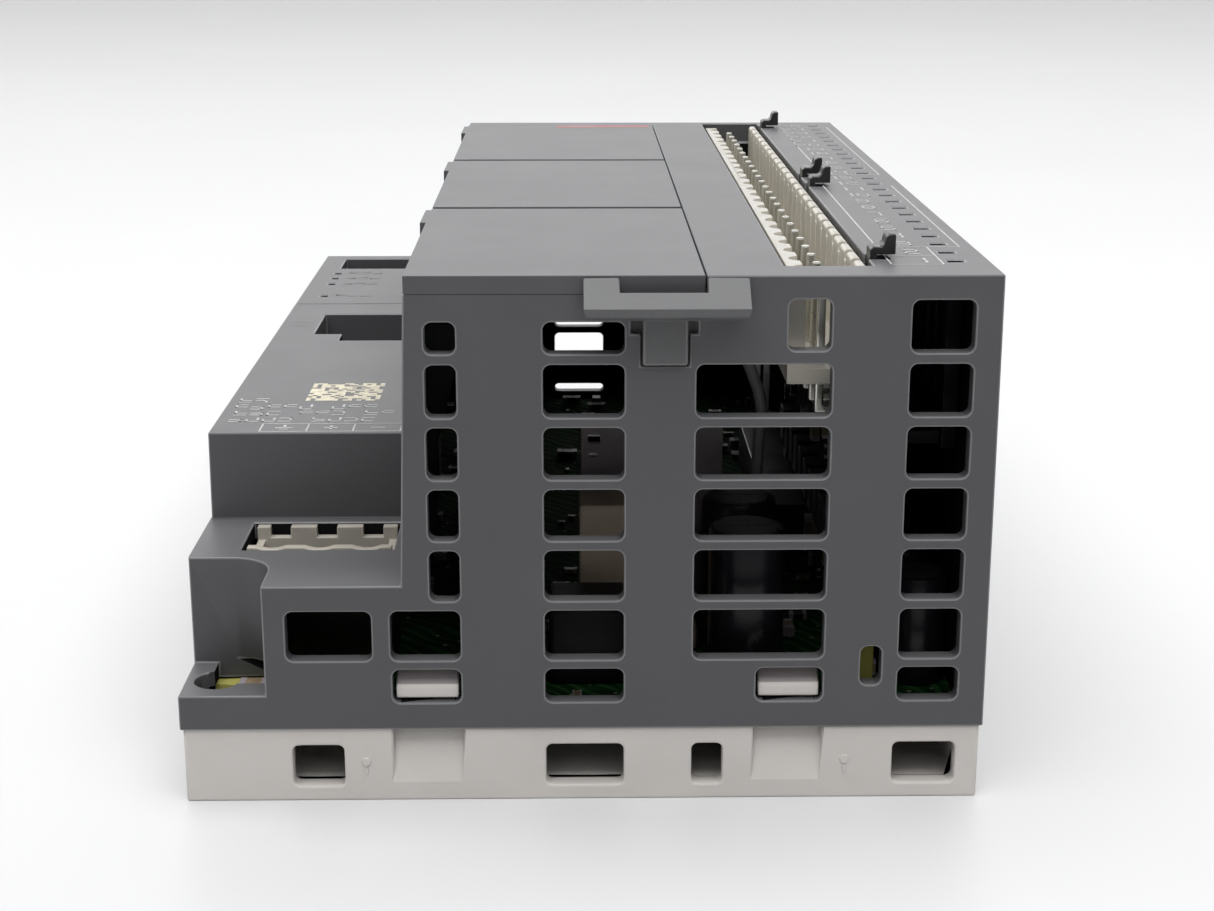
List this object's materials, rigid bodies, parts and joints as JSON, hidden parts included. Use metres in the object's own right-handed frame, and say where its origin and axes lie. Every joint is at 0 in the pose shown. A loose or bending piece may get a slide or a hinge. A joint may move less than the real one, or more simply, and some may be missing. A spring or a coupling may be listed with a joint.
{
  "type": "plc module",
  "caption": "Rail-mounted logic controller with vented housing, light base plate, blank option covers, plug-in terminal headers, rail latch and screw ear.",
  "frame": {"origin": "middle of the footprint, on the plane of the rail face", "axes": "+X along the rail, +Y along the terminal rows away from the cable bracket, +Z to the front"},
  "size_m": [0.0826, 0.1386, 0.0575],
  "materials": {
    "case_grey": "fine moulded texture",
    "bracket_grey": "fine moulded texture",
    "base_grey": "fine moulded texture",
    "cream_plastic": "satin moulding",
    "black_plastic": "satin moulding",
    "circuit_board": "solder resist over glass epoxy",
    "tin": "tin plating",
    "gold": "gold flash",
    "steel": "bright nickel plating",
    "chip_epoxy": "moulded epoxy",
    "clear_plastic": "clear polycarbonate",
    "led_resin": "diffusing resin",
    "sleeve": "shrunk sleeve",
    "coil_tape": "wound tape"
  },
  "bodies": {
    "module": {"base_plate": "base_grey", "front_housing": "case_grey", "io_header_near": "cream_plastic", "io_header_far": "cream_plastic", "io_pins": "tin", "power_header": "cream_plastic", "power_pins": "tin", "main_board": "circuit_board", "io_board": "circuit_board", "board_link": "black_plastic", "network_socket": "black_plastic", "socket_shield": "steel", "socket_contacts": "gold", "card_socket": "steel", "switch_body": "black_plastic", "status_leds": "led_resin", "status_light_guide": "clear_plastic", "io_leds": "led_resin", "io_light_guide": "clear_plastic", "option_socket_1": "black_plastic", "option_socket_2": "black_plastic", "option_socket_3": "black_plastic", "bus_connector": "black_plastic", "processor": "chip_epoxy", "memory_chips": "chip_epoxy", "input_couplers": "chip_epoxy", "output_drivers": "chip_epoxy", "bulk_capacitors": "sleeve", "power_inductor": "black_plastic", "transformer": "coil_tape", "heat_sink": "steel", "backup_capacitor": "steel", "crystal": "steel", "earth_contact": "tin", "board_screws": "steel", "din_latch_spring": "steel"},
    "cover_one": {"option_cover_1": "case_grey"},
    "cover_two": {"option_cover_2": "case_grey"},
    "cover_three": {"option_cover_3": "case_grey"},
    "bracket": {"cable_bracket": "bracket_grey"},
    "lock_one": {"latch_1": "black_plastic"},
    "lock_two": {"latch_2": "black_plastic"},
    "lock_three": {"latch_3": "black_plastic"},
    "lock_four": {"latch_4": "black_plastic"},
    "run_stop_knob": {"switch_knob": "black_plastic"},
    "rail_slider": {"din_latch": "case_grey"}
  },
  "joints": [
    {"name": "cover_one_lift", "type": "slide", "parent": "module", "child": "cover_one", "axis": [0, 0, 1], "range_m": [0, 0.015]},
    {"name": "cover_two_lift", "type": "slide", "parent": "module", "child": "cover_two", "axis": [0, 0, 1], "range_m": [0, 0.015]},
    {"name": "cover_three_lift", "type": "slide", "parent": "module", "child": "cover_three", "axis": [0, 0, 1], "range_m": [0, 0.015]},
    {"name": "bracket_pull", "type": "slide", "parent": "module", "child": "bracket", "axis": [0, -1, 0], "range_m": [0, 0.008]},
    {"name": "lock_one_tilt", "type": "hinge", "parent": "module", "child": "lock_one", "pos_m": [0.0295, -0.0554, 0.0456], "axis": [0, 1, 0], "range_deg": [0, 5], "stiffness_Nm_per_rad": 0.02},
    {"name": "lock_two_tilt", "type": "hinge", "parent": "module", "child": "lock_two", "pos_m": [0.0295, -0.0031, 0.0456], "axis": [0, 1, 0], "range_deg": [0, 5], "stiffness_Nm_per_rad": 0.02},
    {"name": "lock_three_tilt", "type": "hinge", "parent": "module", "child": "lock_three", "pos_m": [0.0295, 0.0056, 0.0456], "axis": [0, 1, 0], "range_deg": [0, 5], "stiffness_Nm_per_rad": 0.02},
    {"name": "lock_four_tilt", "type": "hinge", "parent": "module", "child": "lock_four", "pos_m": [0.0295, 0.0625, 0.0456], "axis": [0, 1, 0], "range_deg": [0, 5], "stiffness_Nm_per_rad": 0.02},
    {"name": "run_stop_slide", "type": "slide", "parent": "module", "child": "run_stop_knob", "axis": [0, 1, 0], "range_m": [0, 0.002]},
    {"name": "rail_slider_pull", "type": "slide", "parent": "module", "child": "rail_slider", "axis": [0, 1, 0], "range_m": [0, 0.004], "stiffness_N_per_m": 400, "springref_m": -0.003, "deforming": ["din_latch_spring"]}
  ]
}
